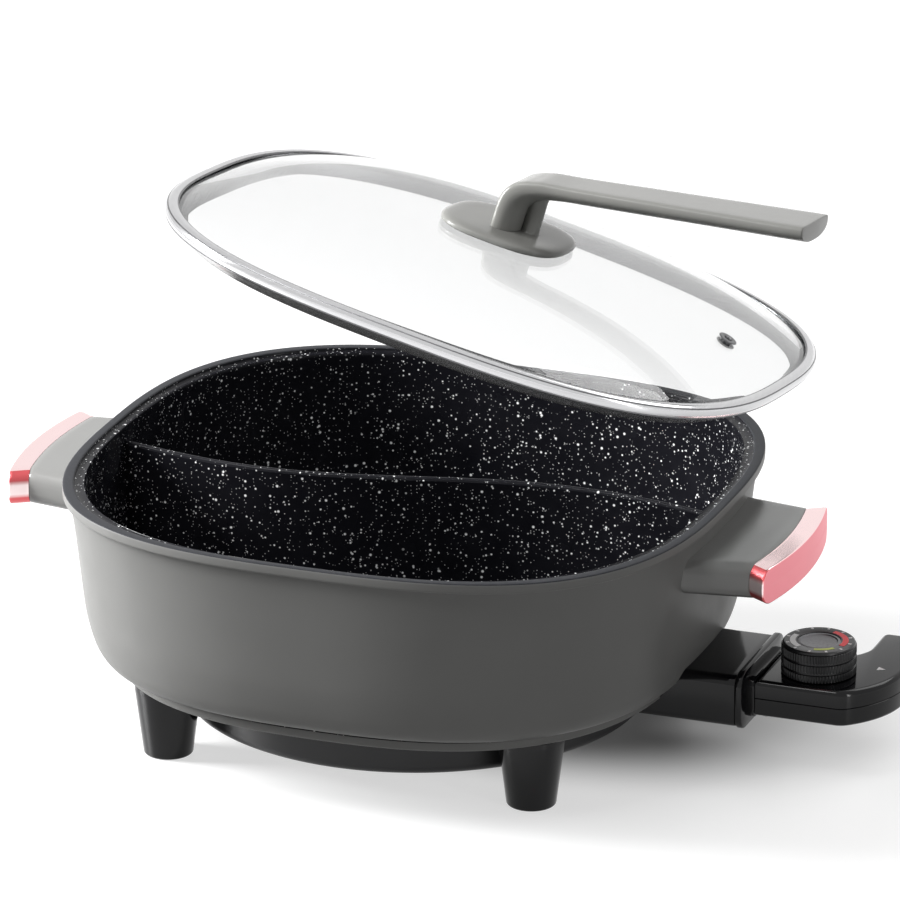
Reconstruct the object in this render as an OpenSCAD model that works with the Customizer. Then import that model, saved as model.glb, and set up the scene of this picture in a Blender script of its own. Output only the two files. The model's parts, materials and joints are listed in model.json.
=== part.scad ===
// Divided electric hot pot with a loose glass lid and a plug-in thermostat controller.
// Millimetres. Origin on the table under the middle of the pot, +Z up,
// +X towards the controller, -Y towards the user.

/* [Pot] */
// Length of the rim, outside, handle to handle
rim_l = 340; // [330:2:350]
// Width of the rim, outside, front to back
rim_w = 330; // [322:2:340]
// Height of the rim above the table
rim_z = 137.3; // [134:0.1:142]
// Height of the pot's underside above the table
base_z = 38.2; // [36:0.1:40]
// Squareness of the rim's outline: 2 is an ellipse, larger is squarer
rim_n = 2.85; // [2.6:0.05:3]
// Height of the lip round the rim
lip_h = 5.4; // [4:0.1:6]
// Thickness of the pot's floor
floor_t = 5; // [4:0.5:6]

/* [Divider] */
// Height of the divider's top edge above the table
divider_z = 128.3; // [118:0.1:128.3]
// How far the divider swings to each side of the middle
divider_wave = 14; // [8:1:20]
// Thickness of the divider along its top edge
divider_t = 3.4; // [3:0.1:5]

/* [Base] */
// Radius of the heater's cover
cover_r = 121.5; // [112:0.5:121.5]
// Height of the heater cover's underside above the table
cover_z = 12.5; // [12:0.5:18]
// Distance of each foot from the middle, along X and along Y
foot_pos = 98.5; // [98.5:0.5:100]
// Radius of a foot on the table
foot_r = 12.8; // [11:0.1:14]
// Radius of a foot under the pot
foot_top_r = 17; // [15:0.1:17]

/* [Socket] */
// Half width of the socket's shroud
shroud_hw = 33.8; // [33:0.1:34]
// Height of the shroud's underside above the table
shroud_z = 27.4; // [27:0.1:28]
// Height of the shroud
shroud_h = 27.6; // [27:0.1:28]
// Distance from the middle to the shroud's open end
shroud_end = 184.3; // [183.5:0.1:186]

/* [Side handles] */
// Height of a grip's underside above the table
grip_z = 103; // [100:1:106]
// Thickness of a grip
grip_t = 19; // [16:1:20]
// Half width of a grip where it meets the pot
grip_root = 52.5; // [48:0.5:56]
// Half width of a grip at its end cap
grip_tip = 46.5; // [42:0.5:50]
// Distance from the middle to the joint of grip and cap
grip_end = 200.7; // [196:0.1:204]
// Length of an end cap
cap_l = 10.8; // [8:0.2:14]
// Half width of an end cap at its outer face
cap_hw = 52.5; // [50:0.5:54]

/* [Lid] */
// How far the lid's edge lies inside the pot's edge
lid_inset = 6.8; // [6.8:0.1:7.2]
// Height of the glass dome above the lid's seat
dome_h = 29; // [24:0.5:30]
// Thickness of the glass
glass_t = 4; // [3:0.5:5]
// Depth of the steel skirt that hangs into the pot
skirt_h = 6.3; // [4:0.1:6.3]
// Length of the lid's arm from the middle of the lid
arm_l = 152; // [120:1:160]
// Rise of the arm from its root to its tip
arm_rise = 24.4; // [15:0.1:28]

/* [Lid as photographed] */
// Angle that the lid is swung open from closed
lid_open = 16.4; // [0:0.1:16.4]
// Direction of the swing's axis from the middle of the pot, from +X
swing_dir = 32.4; // [28:0.1:36]
// Distance of the swing's axis from the middle of the pot
swing_r = 342; // [338:1:360]
// Depth of the swing's axis below the closed lid
swing_drop = 90.5; // [80:0.5:90.5]

/* [Controller] */
// Half width of the controller's case
case_hw = 24; // [22:0.5:25]
// Height of the case's underside above the table
case_z = 32; // [31:0.5:32]
// Height of the case
case_h = 19; // [18:0.5:22]
// Half width of the collar between the case and the socket
collar_hw = 35; // [34.5:0.1:36]
// Radius of the temperature knob
knob_r = 19.2; // [17:0.1:20]
// Height of the knob above the case
knob_h = 17; // [14:0.1:18]

/* [Hidden] */

eps = 0.01;
gap = 0.3;               // clearance between pieces of different bodies
fit = 0.06;              // radial running fit of the knob's spindle
ring_k = 80;             // points round the pot
lid_k = 72;              // points round the lid
$fn = 64;

grey = "#5c5c5a";
black = "#17171a";
steel = "#c4c6c8";
rose = "#eda9ad";
brass = "#b08d4a";

// Pot section: how far in from the rim's edge, and at what height
recess = 2;              // depth of the step that the lid drops into
seat_z = rim_z - recess;
floor_z = base_z + floor_t;
side_ratio = 0.8;        // the front and back draw in less than the ends do
n_drop = 0.0125;         // the outline rounds off by this much per mm drawn in
outer_section = [[24, base_z], [24, base_z + 4.6], [24.6, base_z + 5.2], [22, base_z + 6],
    [18.8, base_z + 7.2], [16, base_z + 9.6], [13.6, base_z + 14], [12, base_z + 19],
    [10.4, base_z + 26], [9, base_z + 35], [7, base_z + 56], [5, base_z + 77],
    [3.2, rim_z - lip_h - 2.5], [2.6, rim_z - lip_h], [0.6, rim_z - lip_h + 0.4],
    [0, rim_z - lip_h + 1.2], [0, rim_z - 1], [0.8, rim_z]];
inner_section = [[4.6, rim_z], [5.3, rim_z - 0.7], [5.3, seat_z], [9.4, seat_z], [9.9, seat_z - 1],
    [10.2, rim_z - 20], [11.6, rim_z - 43], [13.8, rim_z - 66], [16.6, floor_z + 17], [20.5, floor_z + 9],
    [27, floor_z + 3.4], [36, floor_z]];

// Heater and probe
element_r = 92;          // radius of the ring under the floor
tube_r = 4;
element_z = base_z - tube_r;
leg_y = 12;              // the ring's ends run out to the socket at this distance from the middle
leg_x = 151.5;
bend_r = 14;             // where a leg leaves the ring
pin_r = 2.5;
pin_z = 41.3;
pin_end = 178;
probe_r = 2.6;
probe_z = base_z - gap - probe_r;
probe_tip = 104;
channel_r = 3.9;         // of the channel under the floor that takes the probe
channel_x = [96, 150];
sheet_t = 1.2;
boss_pos = 50;           // cover screws, along X and along Y
clip_angles = [75, 180, 285];

// Socket
shroud_x = 118;
shroud_side = 5;         // walls of the shroud: at the sides, on top and below
shroud_wall = 2.5;
shroud_floor = shroud_z + 1.8;
shroud_roof = shroud_z + shroud_h - shroud_wall;
shroud_screw = [130, 20];
shroud_boss_z = shroud_floor + 2.2;
plate_x = [157, 161];    // the insulating plate at the back of the socket

// Side handles
grip_arc = 223;          // radius of the joint between grip and cap
cap_arc = 207;
grip_round = 7;
bolt_y = 25;
bolt_z = grip_z + grip_t / 2;

// Lid, in its own frame: origin at the middle of its seat
lid_a = rim_l / 2 - lid_inset;
lid_b = rim_w / 2 - lid_inset;
lid_z = seat_z + gap;
glass_edge = 1.2;
dome_edge = glass_edge + 4;
vent_x = 125;
vent_s = vent_x / (lid_a - dome_edge);
base_half = 33.5;        // half width of the handle's base plate
base_top = dome_h + 5.2;
arm_t = 9.6;             // thickness of the arm, down to its belly
arm_hw = [17, 22.8];     // half width of the arm at its root and at its tip
arm_h = 33.1;            // height of the arm over the base plate, where its bend ends
post_x = 11.2;           // the round post in the bend of the arm
swing = [swing_r * cos(swing_dir), swing_r * sin(swing_dir), lid_z - swing_drop];

// Controller
collar_x = shroud_end + gap;
collar_z = [26.2, 57.2];
collar_t = 3.8;
neck_x = collar_x + collar_t;
neck_side = 1.6;         // how far the neck stands out round the case
case_x = 191.8;
case_mid = case_z + case_h / 2;
case_top = case_z + case_h;
case_wall = 2.2;
case_floor = case_z + case_wall;
nose_x = 168;            // the collar's nose reaches this far into the socket
knob_x = 218;
spindle_r = 3;
tail_x = [233, 259];
tail_y = 63;
gland_x = 246;
sleeve_r = 3.9;
sleeve_bore = pin_r + gap;
sleeve_x = [nose_x, 203];
frame_x = [199, 227];
case_screw_spots = [[198, 19.2], [198, -19.2], [250, 10], [239, 50]];

// ---- Shapes that several pieces share ----

function oval_point(a, b, n, t) =
    let (r = pow(pow(abs(cos(t)) / a, n) + pow(abs(sin(t)) / b, n), -1 / n)) [r * cos(t), r * sin(t)];

function oval(a, b, n, k) = [for (i = [0:k - 1]) oval_point(a, b, n, 360 * i / k)];

function oval_ring(a, b, n, z, k) = [for (p = oval(a, b, n, k)) [p[0], p[1], z]];

function arc(centre, r, from, to, steps) =
    [for (i = [0:steps]) let (t = from + (to - from) * i / steps) centre + r * [cos(t), sin(t)]];

// An outline that runs anticlockwise, drawn in by d, as a ring at height z
function drawn_in(points, d, z) = let (k = len(points)) [for (i = [0:k - 1])
    let (a = points[(i + k - 1) % k], b = points[i], c = points[(i + 1) % k],
        u = (b - a) / norm(b - a) + (c - b) / norm(c - b), p = b + 2 * d * [-u[1], u[0]] / (u * u))
            [p[0], p[1], z]];

// Rings from z0 up to z1 with the lower and the upper edge rounded off
function rounded_stack(points, z0, z1, low_r, high_r) = concat(
    [for (t = low_r > 0 ? [90, 60, 30, 0] : [0])
        drawn_in(points, low_r * (1 - cos(t)), z0 + low_r * (1 - sin(t)))],
    [for (t = high_r > 0 ? [0, 30, 60, 90] : [0])
        drawn_in(points, high_r * (1 - cos(t)), z1 - high_r * (1 - sin(t)))]);

// A skin through rings of equally many points; closed with two caps, or into a loop
module skin(rings, loop = false) {
    count = len(rings);
    k = len(rings[0]);
    last = loop ? count - 1 : count - 2;
    sides = [for (i = [0:last]) for (j = [0:k - 1])
        let (a = i * k, b = ((i + 1) % count) * k, m = (j + 1) % k)
            each [[a + j, b + j, b + m], [a + j, b + m, a + m]]];
    caps = [[for (j = [0:k - 1]) j], [for (j = [k - 1:-1:0]) (count - 1) * k + j]];
    polyhedron(points = [for (r = rings) each r], faces = loop ? sides : concat(sides, caps));
}

function pot_ring(section, grow = 0) = let (inset = section[0])
    oval_ring(rim_l / 2 - inset + grow, rim_w / 2 - inset * side_ratio + grow, rim_n - inset * n_drop,
        section[1], ring_k);

// The pot as a full block, for pieces that fit round it
module pot_block(grow = 0) {
    skin([for (s = outer_section) pot_ring(s, grow)]);
}

// Its children in one piece of flat facets; a hole that something turns in is cut afterwards
module as_mesh() {
    resize([0, 0, 0]) union() children();
}

module along_x(x0, x1, r) {
    translate([x0, 0, 0]) rotate([0, 90, 0]) cylinder(h = x1 - x0, r = r);
}

module mirror_y() {
    children();
    mirror([0, 1, 0]) children();
}

module at_four(d) {
    for (sx = [-1, 1], sy = [-1, 1]) translate([sx * d, sy * d, 0]) children();
}

module tube(h, outer, inner) {
    difference() {
        cylinder(h = h, r = outer);
        translate([0, 0, -1]) cylinder(h = h + 2, r = inner);
    }
}

// A pan-head screw that points up from its head's underside at z = 0
module screw(shank_r, shank_l, head_r, head_h) {
    cylinder(h = shank_l, r = shank_r);
    translate([0, 0, -head_h]) cylinder(h = head_h, r1 = head_r * 0.82, r2 = head_r);
}

// A block along X with rounded long edges
module round_block(x0, x1, hw, z0, z1, r) {
    translate([x0, 0, 0]) rotate([90, 0, 90]) linear_extrude(x1 - x0)
        translate([0, (z0 + z1) / 2]) offset(r) square([2 * (hw - r), z1 - z0 - 2 * r], center = true);
}

// ---- Pot ----

function divider_y(x) = divider_wave * sin(180 * x / 166);

module divider_wall() {
    steps = 40;
    half = 164;
    foot_t = divider_t + 4;
    xs = [for (i = [0:steps]) -half + 2 * half * i / steps];
    top = concat([for (x = xs) [x, divider_y(x) - divider_t / 2]],
        [for (i = [steps:-1:0]) [xs[i], divider_y(xs[i]) + divider_t / 2]]);
    foot = concat([for (x = xs) [x, divider_y(x) - foot_t / 2]],
        [for (i = [steps:-1:0]) [xs[i], divider_y(xs[i]) + foot_t / 2]]);
    k = len(top);
    polyhedron(
        points = concat([for (p = foot) [p[0], p[1], floor_z - 1]], [for (p = top) [p[0], p[1], divider_z]]),
        faces = concat([[for (j = [0:k - 1]) j]], [[for (j = [k - 1:-1:0]) k + j]],
            [for (j = [0:k - 1]) let (m = (j + 1) % k) each [[j, k + j, k + m], [j, k + m, m]]]));
}

module pot_body() {
    color(grey) as_mesh() difference() {
        union() {
            skin([for (s = concat(outer_section, inner_section)) pot_ring(s)]);
            intersection() {
                divider_wall();
                pot_block(-1);
            }
            at_four(boss_pos) translate([0, 0, cover_z + sheet_t + 0.2])
                cylinder(h = base_z - cover_z, r = 5, $fn = 24);
            mirror_y() translate([shroud_screw[0], shroud_screw[1], shroud_boss_z])
                cylinder(h = base_z + 1 - shroud_boss_z, r = 4, $fn = 24);
        }
        at_four(foot_pos) translate([0, 0, 30]) cylinder(h = 12, r = 2.2, $fn = 16);
        at_four(boss_pos) cylinder(h = 34, r = 1.9, $fn = 16);
        mirror_y() translate([shroud_screw[0], shroud_screw[1], 20]) cylinder(h = 20, r = 1.9, $fn = 16);
        for (side = [-1, 1]) scale([side, 1, 1]) mirror_y() translate([0, bolt_y, bolt_z])
            rotate([0, 90, 0]) translate([0, 0, 160.8]) cylinder(h = 12, r = 2.3, $fn = 16);
    }
}

// ---- Heater and socket ----

// In along one leg, round the bend, round the ring and out again
function element_path() =
    let (bend = [sqrt(pow(element_r + bend_r, 2) - pow(leg_y + bend_r, 2)), leg_y + bend_r],
        start = atan2(bend[1], bend[0]))
    concat([[leg_x, leg_y]], arc(bend, bend_r, 270, 180 + start, 6),
        arc([0, 0], element_r, start + 6, 354 - start, 48),
        arc([bend[0], -bend[1]], bend_r, 180 - start, 90, 6), [[leg_x, -leg_y]]);

module heating_element() {
    path = element_path();
    sides = 10;
    color(steel) skin([for (i = [0:len(path) - 1])
        let (ahead = path[min(i + 1, len(path) - 1)] - path[max(i - 1, 0)],
            across = [ahead[1], -ahead[0]] / norm(ahead))
            [for (j = [0:sides - 1]) let (t = 360 * j / sides)
                [each path[i] + tube_r * cos(t) * across, element_z + tube_r * sin(t)]]]);
}

module element_clips() {
    color(steel) for (a = clip_angles) rotate([0, 0, a]) translate([element_r, 0, element_z])
        rotate([90, 0, 0]) translate([0, 0, -5]) difference() {
            union() {
                cylinder(h = 10, r = tube_r + 1.4);
                translate([-11, tube_r - 1.2, 0]) cube([22, 1.2, 10]);
            }
            translate([0, 0, -1]) cylinder(h = 12, r = tube_r + 0.1);
            translate([-tube_r - 0.1, 0, -1]) cube([2 * tube_r + 0.2, tube_r + 2, 12]);
            translate([-12, tube_r, -1]) cube([24, 4, 12]);
        }
}

// A post stands on the end of each leg and carries a pin at the height of the socket's middle
module terminal_pins() {
    color(steel) mirror_y() translate([0, leg_y, 0]) {
        translate([leg_x + pin_r, 0, element_z - pin_r]) cylinder(h = pin_z - element_z + pin_r, r = pin_r);
        translate([0, 0, pin_z]) {
            along_x(leg_x + pin_r, pin_end - 2, pin_r);
            translate([leg_x + pin_r, 0, 0]) sphere(pin_r);
            translate([pin_end - 2, 0, 0]) rotate([0, 90, 0]) cylinder(h = 2, r1 = pin_r, r2 = pin_r - 1);
        }
    }
}

module terminal_block() {
    hw = shroud_hw - shroud_side;
    color("#e8e2d4") difference() {
        translate([plate_x[0], -hw, shroud_floor])
            cube([plate_x[1] - plate_x[0], 2 * hw, shroud_roof - shroud_floor]);
        mirror_y() translate([0, leg_y, pin_z]) along_x(150, 170, pin_r + 0.05);
        translate([0, 0, probe_z]) along_x(150, 170, probe_r + gap);
    }
}

module probe_channel() {
    slot = 1.6;
    color(steel) difference() {
        translate([channel_x[0], 0, probe_z]) rotate([0, 90, 0])
            tube(channel_x[1] - channel_x[0], channel_r, probe_r + gap);
        translate([channel_x[0] - 1, -10, base_z]) cube([80, 20, 10]);
        translate([channel_x[0] - 1, -slot, probe_z]) cube([80, 2 * slot, 10]);
    }
}

module heater_cover() {
    wall_h = base_z - cover_z - 0.2;
    color("#2b2b2d") difference() {
        translate([0, 0, cover_z]) rotate_extrude($fn = 96) polygon([[0, 0], [cover_r - 5, 0],
            [cover_r - 1.4, 1.6], [cover_r, 5], [cover_r, wall_h], [cover_r - sheet_t, wall_h],
            [cover_r - sheet_t, 5.2], [cover_r - 2.4, 2.6], [cover_r - 5.4, sheet_t], [0, sheet_t]]);
        at_four(boss_pos) cylinder(h = 30, r = 2.3);
        translate([100, -18, 26]) cube([40, 36, 20]);
    }
}

module cover_screws() {
    color(steel) at_four(boss_pos) translate([0, 0, cover_z]) screw(1.8, 16, 4, 2.2);
}

module foot() {
    color(black) difference() {
        rotate_extrude() polygon([[0, 0], [foot_r - 0.8, 0], [foot_r, 0.8],
            [foot_top_r, base_z - 3], [foot_top_r, base_z], [0, base_z]]);
        translate([0, 0, -1]) cylinder(h = 21, r = 5);
        cylinder(h = 50, r = 2.4);
    }
}

module foot_at(sx, sy) {
    translate([sx * foot_pos, sy * foot_pos, 0]) foot();
}

module foot_screws() {
    color(steel) at_four(foot_pos) translate([0, 0, 20]) screw(2.1, 21.6, 4.4, 2.6);
}

module socket_shroud() {
    inner_hw = shroud_hw - shroud_side;
    color(black) as_mesh() difference() {
        union() {
            difference() {
                round_block(shroud_x, shroud_end, shroud_hw, shroud_z, shroud_z + shroud_h, 5, $fn = 32);
                translate([shroud_x - 1, -inner_hw, shroud_floor])
                    cube([shroud_end - shroud_x + 2, 2 * inner_hw, shroud_roof - shroud_floor]);
            }
            mirror_y() translate([shroud_screw[0], shroud_screw[1], shroud_z + 1])
                cylinder(h = shroud_boss_z - shroud_z - 1, r = 3.4, $fn = 24);
        }
        pot_block(0.25);
        cylinder(h = 80, r = cover_r + 0.25, $fn = 96);
        mirror_y() translate([shroud_screw[0], shroud_screw[1], 20]) cylinder(h = 20, r = 1.9, $fn = 16);
    }
}

module shroud_screws() {
    color(steel) mirror_y() translate([shroud_screw[0], shroud_screw[1], shroud_z]) screw(1.8, 11, 3.6, 2);
}

// ---- Side handles ----

module grip_section(x, hw, r) {
    translate([x, 0, bolt_z]) rotate([90, 0, 90]) linear_extrude(0.1)
        offset(r) square([2 * (hw - r), grip_t - 2 * r], center = true);
}

// The slab from the pot's wall out past the cap
module grip_slab() {
    taper = (grip_root - grip_tip) / 33;
    hull() {
        grip_section(150, grip_root + 13 * taper, grip_round, $fn = 32);
        grip_section(grip_end + cap_l + 4, grip_tip - 13 * taper, grip_round, $fn = 32);
    }
}

module inside_arc(x, r, margin = 0) {
    translate([x - r, 0, grip_z - 5]) cylinder(h = grip_t + 10, r = r - margin, $fn = 240);
}

module bolt_holes() {
    mirror_y() translate([0, bolt_y, bolt_z]) {
        along_x(140, 220, 2.4, $fn = 24);
        along_x(192, 220, 4.4, $fn = 24);
    }
}

module grip() {
    color("#8f8f8c") as_mesh() difference() {
        intersection() {
            grip_slab();
            inside_arc(grip_end, grip_arc);
        }
        pot_block(0.1);
        bolt_holes();
    }
}

// The cap's slab widens from the joint to its outer face
module cap_slab() {
    root_x = grip_end - 5;              // where the joint reaches the slab's edges
    root_hw = grip_tip + 0.9;
    face_x = grip_end + cap_l - 7;      // where the outer face does
    hull() {
        grip_section(root_x - 5, root_hw - 2.9, grip_round, $fn = 32);
        grip_section(root_x, root_hw, grip_round, $fn = 32);
        grip_section(face_x, cap_hw, grip_round, $fn = 32);
        grip_section(face_x + 10, cap_hw, grip_round, $fn = 32);
    }
}

module grip_cap() {
    color(rose) as_mesh() difference() {
        intersection() {
            cap_slab();
            inside_arc(grip_end + cap_l, cap_arc);
        }
        inside_arc(grip_end, grip_arc, -0.1);
    }
}

module grip_bolts() {
    color(steel) for (side = [-1, 1]) scale([side, 1, 1]) mirror_y() translate([0, bolt_y, bolt_z]) {
        along_x(161, 193, 2.2);
        along_x(192.5, 195.5, 4.2);
    }
}

// ---- Lid, in its own frame ----

module lid_at_rest() {
    translate(swing) rotate(a = lid_open, v = [-sin(swing_dir), cos(swing_dir), 0]) translate(-swing)
        translate([0, 0, lid_z]) children();
}

function lid_ring(inset, z) = oval_ring(lid_a - inset, lid_b - inset, rim_n, z, lid_k);

// Height of the glass above its flat edge, for s from 0 in the middle to 1 at the edge
function dome(s) = (dome_h - glass_t - 1.1) * (1 - pow(s, 3.2));

function dome_ring(s, lift) =
    oval_ring((lid_a - dome_edge) * s, (lid_b - dome_edge) * s, rim_n, lift + dome(s), lid_k);

// The vent stands square on the dome's slope
module at_vent() {
    tilt = atan((dome(vent_s - 0.05) - dome(vent_s + 0.05)) / (0.1 * (lid_a - dome_edge)));
    translate([vent_x, 0, 1.1 + dome(vent_s)]) rotate([0, tilt, 0]) children();
}

module lid_glass() {
    bottom = 1.1;
    top = bottom + glass_t;
    steps = [0.03, 0.2, 0.4, 0.55, 0.68, 0.78, 0.86, 0.93, 1];
    color("#d9e4e6", 0.4) as_mesh() difference() {
        skin(concat([for (s = steps) dome_ring(s, bottom)],
            [lid_ring(glass_edge, bottom), lid_ring(glass_edge, top)],
            [for (i = [len(steps) - 1:-1:0]) dome_ring(steps[i], top)]));
        cylinder(h = 40, r = 4.2, $fn = 24);
        at_vent() translate([0, 0, -10]) cylinder(h = 30, r = 3.2, $fn = 24);
    }
}

module lid_rim() {
    t = 0.8;
    section = [[0.4, 0], [0, 0.5], [0, 5.9], [0.6, 6.5], [4.6, 7], [4.6, 6.2], [0.9, 5.3], [0.9, t],
        [5.2, t], [11.8, -skirt_h + 0.4], [11.4, -skirt_h], [4.4, 0]];
    color(steel) skin([for (s = section) lid_ring(s[0], s[1])], loop = true);
}

module lid_vent() {
    color(steel) at_vent() difference() {
        union() {
            translate([0, 0, glass_t + 0.2]) cylinder(h = 1, r1 = 5.2, r2 = 4.6);
            translate([0, 0, -1.2]) cylinder(h = 1, r = 5.2);
            translate([0, 0, -1]) cylinder(h = glass_t + 2, r = 2.7);
        }
        translate([0, 0, -3]) cylinder(h = 12, r = 1.9);
    }
}

module lid_handle_seal() {
    color("#3a3a3a") translate([0, 0, dome_h]) tube(1, 24, 4.4);
}

module lid_handle_base() {
    bottom = dome_h + 1;
    section = [[0.6, bottom], [0, bottom + 0.8], [0, base_top - 2.2], [1.2, base_top - 0.9],
        [4, base_top - 0.2], [9, base_top]];
    color(grey) difference() {
        skin([for (s = section) oval_ring(base_half - s[0], base_half - s[0], rim_n, s[1], 48)]);
        translate([0, 0, dome_h]) cylinder(h = 10, r = 2.5);
    }
}

// One section of the arm, from a point of its outer line to one of its inner line:
// a flat top with soft shoulders and a belly
function arm_ring(outer, inner, hw) =
    [for (p = [[-1, 0.3], [-0.93, 0.06], [-0.75, 0], [0, 0], [0.75, 0], [0.93, 0.06], [1, 0.3], [0.97, 0.55],
        [0.78, 0.82], [0.4, 0.97], [0, 1], [-0.4, 0.97], [-0.78, 0.82], [-0.97, 0.55]])
            let (c = outer + p[1] * (inner - outer)) [c[0], -p[0] * hw, c[1]]];

// Up the leg, round the bend and out to the tip, as pairs of an outer and an inner point
function arm_line() =
    let (foot = [0, base_top], bend = [0, base_top + arm_h], tip = [arm_l, base_top + arm_h + arm_rise])
    concat([[foot + [-5.8, 0], foot + [7, 0]], [bend + [-5.9, -25], bend + [7.2, -25]],
        [bend + [-5.7, -20], bend + [7.9, -20]], [bend + [-5, -15.6], bend + [10, -17.2]],
        [bend + [-3.4, -11.8], bend + [13.2, -14.8]], [bend + [-0.4, -8.2], bend + [17.2, -13.1]],
        [bend + [4.4, -5.8], bend + [21, -12]], [bend + [13.7, -2.9], bend + [27, -10.4]]],
        [for (u = [0:0.25:1]) let (top = [30, base_top + arm_h] * (1 - u) + tip * u)
            [top, top + [2, -arm_t]]]);

module lid_handle_arm() {
    line = arm_line();
    color(grey) difference() {
        union() {
            skin([for (p = line) let (u = min(max((p[0][0] - 15) / (arm_l - 25), 0), 1))
                arm_ring(p[0], p[1], arm_hw[0] * (1 - u) + arm_hw[1] * u)]);
            translate([post_x, 0, base_top]) cylinder(h = 19, r = 4.6);
        }
        translate([0, 0, base_top - 1]) cylinder(h = 17.5, r = 2.3);
    }
}

module lid_washer() {
    color(steel) translate([0, 0, dome_h - glass_t - 1.4]) tube(1.3, 11, 2.5);
}

module lid_screw() {
    color(steel) translate([0, 0, dome_h - glass_t - 1.4]) screw(2.2, 26, 4.6, 2.2);
}

// ---- Controller ----

// Straight along the front, a large curve to the tail, and a hollow corner behind the knob
function case_outline() =
    let (big = [tail_x[1] - 50, 17], small_r = 10, rise = big[1] + case_hw - small_r,
        small = [big[0] + sqrt(pow(50 - small_r, 2) - pow(rise, 2)), small_r - case_hw],
        turn = -atan2(rise, small[0] - big[0]))
    concat([[case_x, -case_hw]], arc(small, small_r, -90, turn, 4), arc(big, 50, turn * 0.86, 0, 6),
        arc([tail_x[1] - 4, tail_y - 4], 4, 0, 90, 4), arc([tail_x[0] + 4, tail_y - 4], 4, 90, 180, 4),
        arc([tail_x[0] - 18, case_hw + 18], 18, 0, -90, 7), [[case_x, case_hw]]);

module case_hollow(z0, z1) {
    translate([0, 0, z0]) linear_extrude(z1 - z0)
        polygon([for (p = drawn_in(case_outline(), case_wall, 0)) [p[0], p[1]]]);
}

// Holes through the front wall for the contacts and the probe, and through the tail for the gland
module case_holes() {
    mirror_y() translate([0, leg_y, pin_z]) along_x(case_x - 1, case_x + 8, sleeve_r + 0.05);
    translate([0, 0, probe_z]) along_x(case_x - 1, frame_x[0], probe_r + 0.05);
    translate([gland_x, tail_y - 8, case_mid]) rotate([-90, 0, 0]) cylinder(h = 20, r = 4.6);
}

module case_posts(z0, z1, r) {
    for (p = case_screw_spots) translate([p[0], p[1], z0]) tube(z1 - z0, 3, r);
}

module controller_lower_case() {
    color(black) as_mesh() difference() {
        union() {
            difference() {
                skin(rounded_stack(case_outline(), case_z, case_mid, 2, 0));
                case_hollow(case_floor, case_mid + 1);
            }
            case_posts(case_floor - 1, case_mid, 1.2, $fn = 24);
        }
        case_holes($fn = 32);
        for (p = case_screw_spots) translate([p[0], p[1], case_z - 1]) cylinder(h = 20, r = 1.4, $fn = 24);
    }
}

module controller_upper_case() {
    color(black) difference() {
        as_mesh() difference() {
            union() {
                difference() {
                    skin(rounded_stack(case_outline(), case_mid, case_top, 0, 3));
                    case_hollow(case_mid - 1, case_top - case_wall);
                }
                case_posts(case_mid, case_top - case_wall + 1, 1.2, $fn = 24);
                translate([knob_x, 0, case_top - case_wall - 4]) cylinder(h = 5, r = 6, $fn = 32);
            }
            case_holes($fn = 32);
        }
        translate([knob_x, 0, case_mid]) cylinder(h = 40, r = spindle_r + fit);
    }
}

module case_screws() {
    color(steel) for (p = case_screw_spots) translate([p[0], p[1], case_z]) screw(1.15, 15, 2.7, 0.9);
}

module controller_collar() {
    color(black) difference() {
        union() {
            round_block(collar_x, neck_x, collar_hw, collar_z[0], collar_z[1], 8, $fn = 32);
            round_block(neck_x - eps, case_x, case_hw + neck_side, case_z - neck_side,
                case_top + neck_side, 5, $fn = 32);
            round_block(nose_x, collar_x + eps, shroud_hw - shroud_side - 1.2, shroud_floor + 1.2,
                shroud_roof - 1.2, 2, $fn = 24);
        }
        mirror_y() translate([0, leg_y, pin_z]) along_x(nose_x - 1, case_x + 1, sleeve_r + 0.05);
        translate([0, 0, probe_z]) along_x(nose_x - 1, case_x + 1, probe_r + 0.05);
    }
}

module probe_rod() {
    color(steel) translate([0, 0, probe_z]) {
        along_x(probe_tip + probe_r, frame_x[0], probe_r);
        translate([probe_tip + probe_r, 0, 0]) sphere(probe_r, $fn = 32);
    }
}

module contact_sleeves() {
    color(brass) mirror_y() translate([0, leg_y, pin_z]) difference() {
        along_x(sleeve_x[0], sleeve_x[1], sleeve_r);
        along_x(sleeve_x[0] - 1, 188, sleeve_bore);
    }
}

// An open channel on the case's floor; the probe's end butts against it
module thermostat_frame() {
    color(steel) difference() {
        translate([frame_x[0], -8, case_floor]) cube([frame_x[1] - frame_x[0], 16, 8]);
        translate([frame_x[0] + 1, -7, case_floor + 1]) cube([frame_x[1] - frame_x[0], 14, 9]);
    }
}

module bimetal_strip() {
    color("#a9763f") {
        translate([frame_x[0] + 2, -3, case_floor + 1]) cube([3, 6, 1.5]);
        translate([frame_x[0] + 2, -3, case_floor + 2.5]) cube([22, 6, 0.8]);
    }
}

// Spring blades on the ends of the contact sleeves, each with a contact stud
module contact_blades() {
    color(brass) mirror_y() {
        translate([sleeve_x[1], leg_y - 1.5, pin_z - 0.4]) cube([24, 3, 0.8]);
        translate([sleeve_x[1] + 22, leg_y, pin_z - 2]) cylinder(h = 3, r = 1.5);
    }
}

module cord_gland() {
    color(black) translate([gland_x, tail_y - 4, case_mid]) rotate([-90, 0, 0]) difference() {
        union() {
            cylinder(h = 1.8, r = 6);
            cylinder(h = 8, r = 4.5);
            translate([0, 0, 4]) cylinder(h = 4, r = 6);
        }
        translate([0, 0, -1]) cylinder(h = 12, r = 3.2);
    }
}

// ---- Knob ----

module knurled(z0, z1, depth) {
    teeth = 60;
    translate([0, 0, z0]) linear_extrude(z1 - z0)
        polygon([for (i = [0:4 * teeth - 1]) let (r = knob_r - (i % 4 < 2 ? 0 : depth), t = 90 * i / teeth)
            [r * cos(t), r * sin(t)]]);
}

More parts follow.
